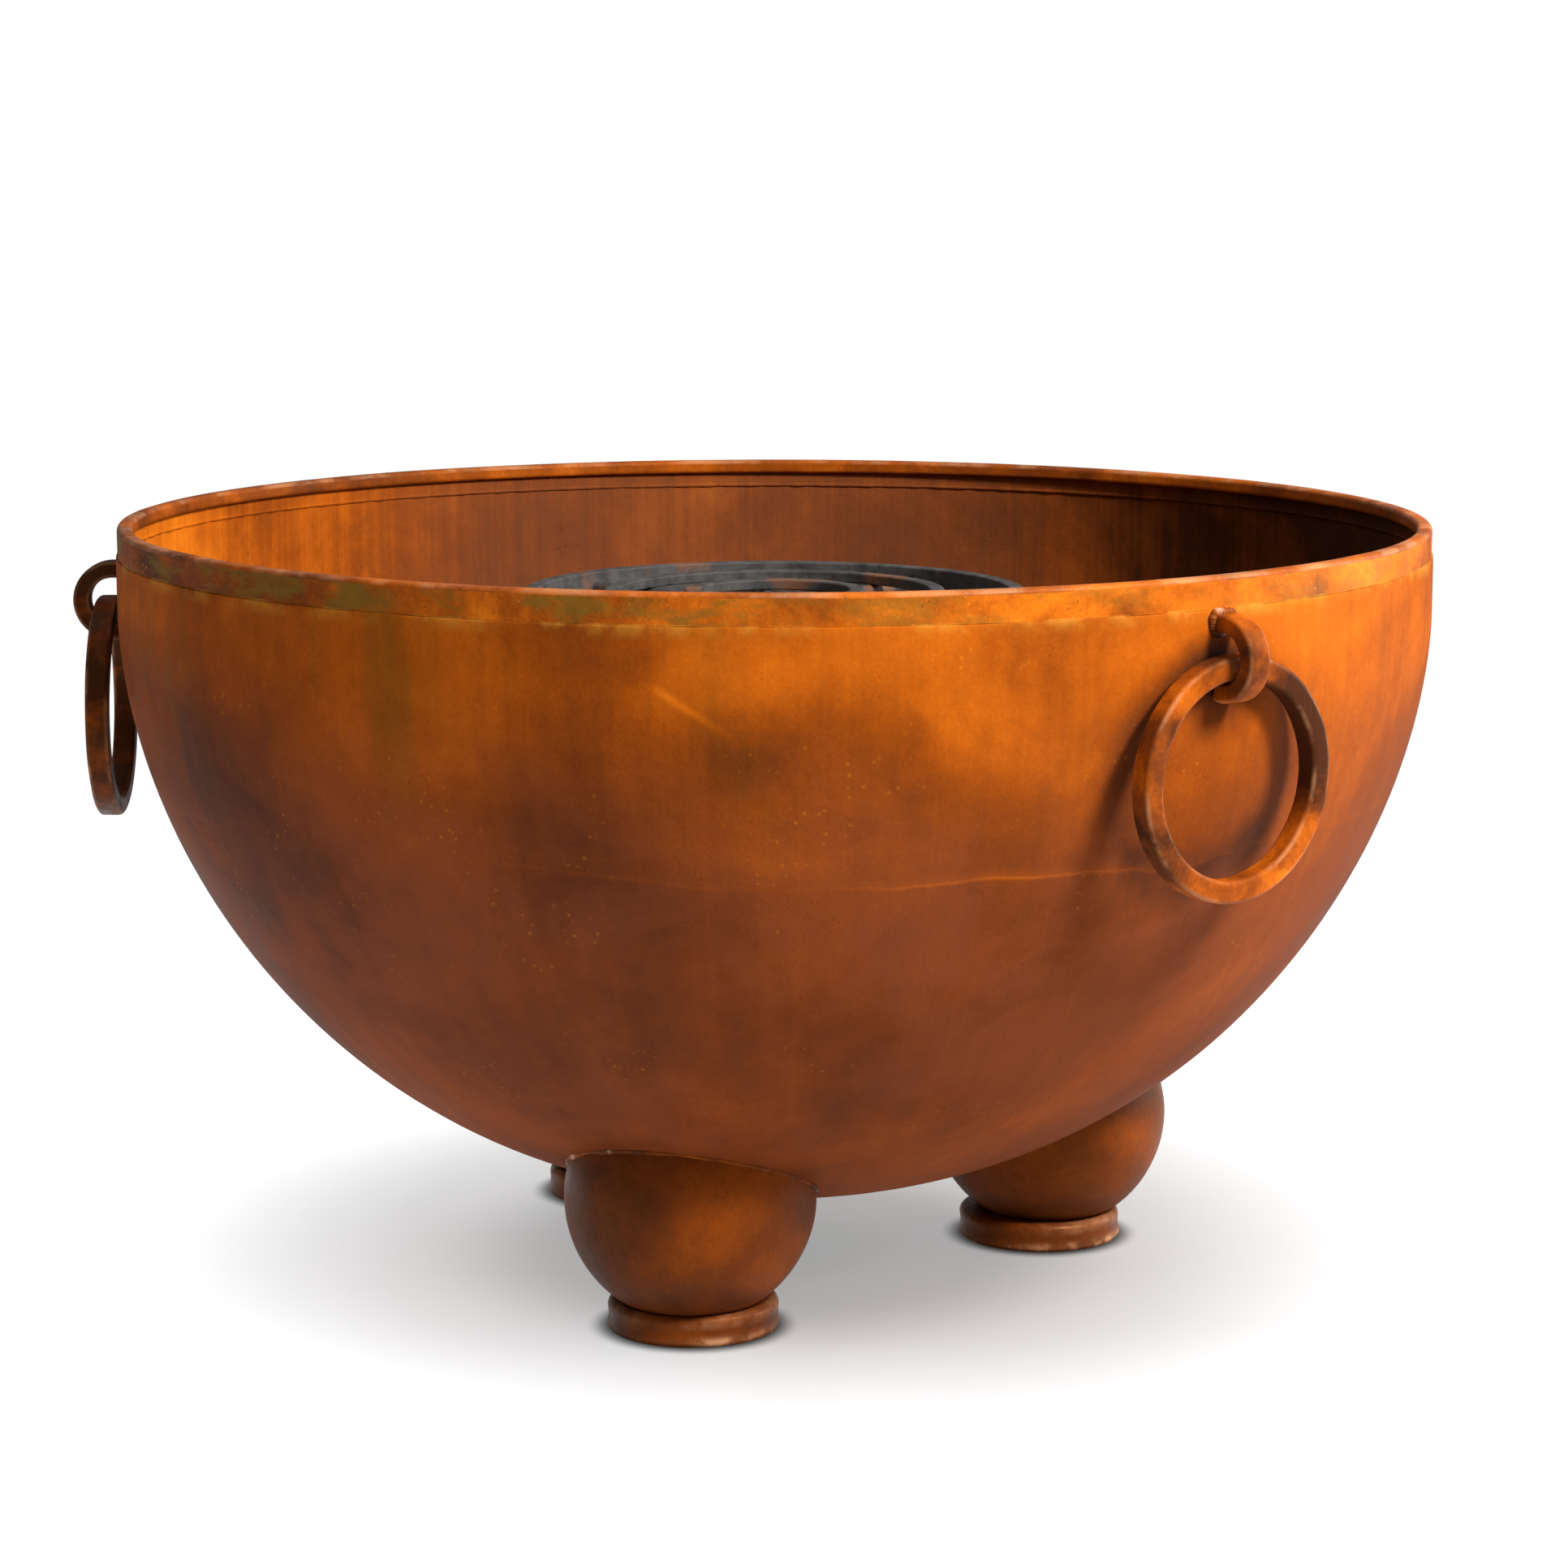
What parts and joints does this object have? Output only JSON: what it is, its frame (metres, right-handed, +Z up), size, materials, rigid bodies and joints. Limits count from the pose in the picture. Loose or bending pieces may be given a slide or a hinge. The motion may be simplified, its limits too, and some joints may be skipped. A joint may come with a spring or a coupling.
{
  "type": "fire pit with grate",
  "caption": "Round plate-steel fire bowl on three cup feet, with swinging ring handles, a gas ring burner in a pan on an inner stand, and a lift-out round grate.",
  "frame": {"origin": "on the ground, under the axis of the round bowl", "axes": "+Z up along the bowl's axis; -Y towards the first foot; +X to the right of a person who faces that foot"},
  "size_m": [1.0616, 1.0722, 0.602],
  "materials": {
    "bowl_rust": "weathered steel patina, matt, orange to red-brown",
    "band_rust": "weathered steel patina, yellower and mottled",
    "rim_rust": "weathered steel patina, rubbed pale along its edge",
    "foot_rust": "weathered steel patina, dark red-brown",
    "handle_rust": "weathered forged bar, dark brown with rubbed edges",
    "weld": "rusted weld bead",
    "black_steel": "heat-resistant black, sooty",
    "grate_steel": "fire-blackened steel with light rust",
    "stainless": "heat-tinted brushed stainless",
    "burner_steel": "heat-tinted stainless tube",
    "brass": "dull brass",
    "pipe_iron": "black iron pipe",
    "lava_stone": "rough porous lava stones"
  },
  "bodies": {
    "bowl": {"bowl_shell": "bowl_rust", "rim_band": "band_rust", "rim_ring": "rim_rust", "seam_weld": "weld", "foot_cup_1": "foot_rust", "foot_cup_2": "foot_rust", "foot_cup_3": "foot_rust", "foot_ring_1": "foot_rust", "foot_ring_2": "foot_rust", "foot_ring_3": "foot_rust", "foot_weld_1": "weld", "foot_weld_2": "weld", "foot_weld_3": "weld", "handle_hook_1": "handle_rust", "handle_hook_2": "handle_rust", "handle_hook_3": "handle_rust", "hook_weld_1": "weld", "hook_weld_2": "weld", "hook_weld_3": "weld", "stand_ring": "black_steel", "stand_legs": "black_steel", "stand_brace": "black_steel", "burner_pan": "stainless", "lava_bed": "lava_stone", "burner_outer_ring": "burner_steel", "burner_inner_ring": "burner_steel", "burner_spokes": "burner_steel", "burner_hub": "burner_steel", "pan_locknuts": "brass", "gas_riser": "pipe_iron", "gas_elbow": "pipe_iron", "gas_inlet": "brass"},
    "handle_1": {"handle_ring_1": "handle_rust"},
    "handle_2": {"handle_ring_2": "handle_rust"},
    "handle_3": {"handle_ring_3": "handle_rust"},
    "grate": {"grate_hoop": "grate_steel", "grate_mid_ring": "grate_steel", "grate_inner_ring": "grate_steel", "grate_bars": "grate_steel", "grate_hub": "grate_steel"}
  },
  "joints": [
    {"name": "handle_swing_1", "type": "hinge", "parent": "bowl", "child": "handle_1", "pos_m": [0.42698, -0.31595, 0.53958], "axis": [-0.5948, -0.8039, 0], "range_deg": [-8, 170]},
    {"name": "handle_swing_2", "type": "hinge", "parent": "bowl", "child": "handle_2", "pos_m": [0.09224, 0.5231, 0.53608], "axis": [0.9848, -0.1736, 0], "range_deg": [-8, 170]},
    {"name": "handle_swing_3", "type": "hinge", "parent": "bowl", "child": "handle_3", "pos_m": [-0.50796, -0.1553, 0.53108], "axis": [-0.2924, 0.9563, 0], "range_deg": [-8, 170]},
    {"name": "grate_lift", "type": "slide", "parent": "bowl", "child": "grate", "axis": [0, 0, 1], "range_m": [0, 0.15]}
  ]
}
